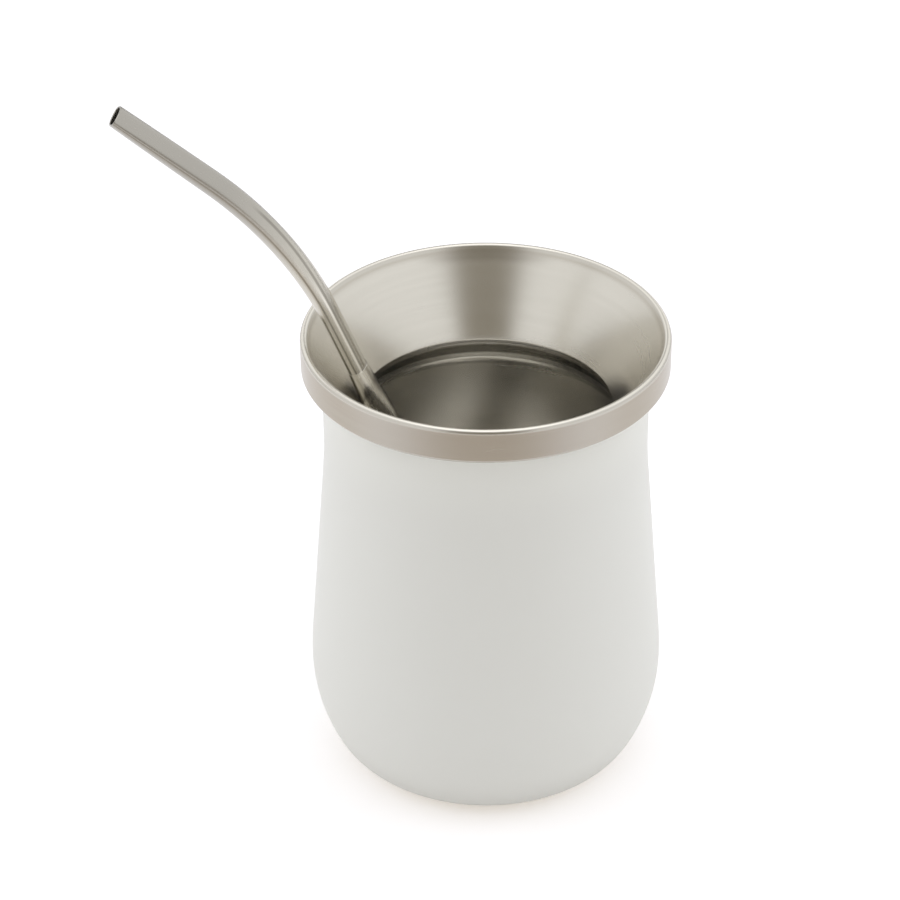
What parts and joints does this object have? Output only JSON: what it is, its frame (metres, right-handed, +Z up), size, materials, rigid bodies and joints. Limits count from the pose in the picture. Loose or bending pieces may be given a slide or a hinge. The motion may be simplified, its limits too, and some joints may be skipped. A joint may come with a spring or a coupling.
{
  "type": "mate cup",
  "caption": "Round double-walled steel mate cup with a white bellied body, a flared steel mouth over a narrow throat, and a bent flat metal drinking straw with a perforated strainer.",
  "frame": {"origin": "centre of the cup's foot, on the plane that the foot rests on", "axes": "+Z up along the cup's axis, -X towards the side that the straw leans and bends to, -Y towards the viewer of the picture"},
  "size_m": [0.1175, 0.08, 0.1585],
  "materials": {
    "white_coating": "white powder coating with a satin sheen",
    "liner_steel": "stainless steel, turned and finely brushed round the axis",
    "plate_steel": "stainless steel, finely brushed",
    "straw_steel": "stainless steel, polished to a soft shine"
  },
  "bodies": {
    "root": {"outer_shell": "white_coating", "inner_liner": "liner_steel", "base_plate": "plate_steel", "straw_tube": "straw_steel", "straw_strainer": "straw_steel"}
  },
  "joints": []
}
